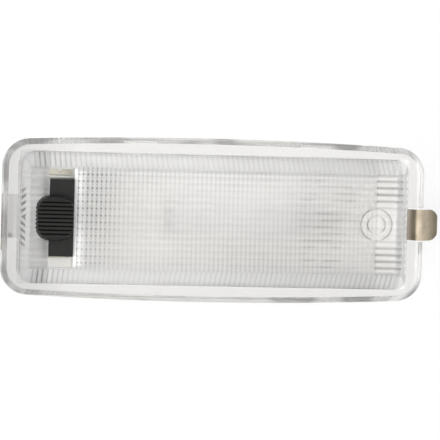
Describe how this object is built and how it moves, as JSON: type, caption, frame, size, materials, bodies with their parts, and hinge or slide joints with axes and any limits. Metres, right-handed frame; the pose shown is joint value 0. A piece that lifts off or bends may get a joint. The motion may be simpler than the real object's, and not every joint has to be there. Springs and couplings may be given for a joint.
{
  "type": "car dome light",
  "caption": "Oblong interior lamp with a clear prismatic lens, white reflector tray, tubular bulb, slide switch and a spring clip for a panel cut-out.",
  "frame": {"origin": "centre of the back face of the flange, which seats on the panel", "axes": "+X along the lamp towards the clip, +Y across it, +Z out of the lens"},
  "size_m": [0.1096, 0.0402, 0.0263],
  "materials": {
    "clear_lens": "clear moulded plastic, glossy, with prisms",
    "white_plastic": "white moulded plastic, satin",
    "black_plastic": "black moulded plastic, satin",
    "bronze": "rolled spring bronze",
    "strip_brass": "stamped brass, dulled",
    "bulb_glass": "clear glass",
    "cap_metal": "plated metal",
    "tungsten": "drawn wire",
    "spring_steel": "rolled spring steel with a warm oxide tint",
    "rivet_brass": "upset brass"
  },
  "bodies": {
    "housing": {"lens": "clear_lens", "reflector_tray": "white_plastic", "feed_strip": "strip_brass", "lamp_strip": "strip_brass", "earth_strip": "strip_brass", "door_strip": "strip_brass", "bulb_glass": "bulb_glass", "bulb_cap_left": "cap_metal", "bulb_cap_right": "cap_metal", "bulb_filament": "tungsten", "retaining_clip": "spring_steel", "clip_rivet": "rivet_brass", "feed_rivet": "rivet_brass", "lamp_rivet": "rivet_brass", "earth_rivet": "rivet_brass", "door_rivet": "rivet_brass"},
    "switch": {"switch_slider": "black_plastic", "bridge_spring": "bronze"}
  },
  "joints": [
    {"name": "switch_slide", "type": "slide", "parent": "housing", "child": "switch", "axis": [0, 1, 0], "range_m": [-0.0025, 0.0025]}
  ]
}
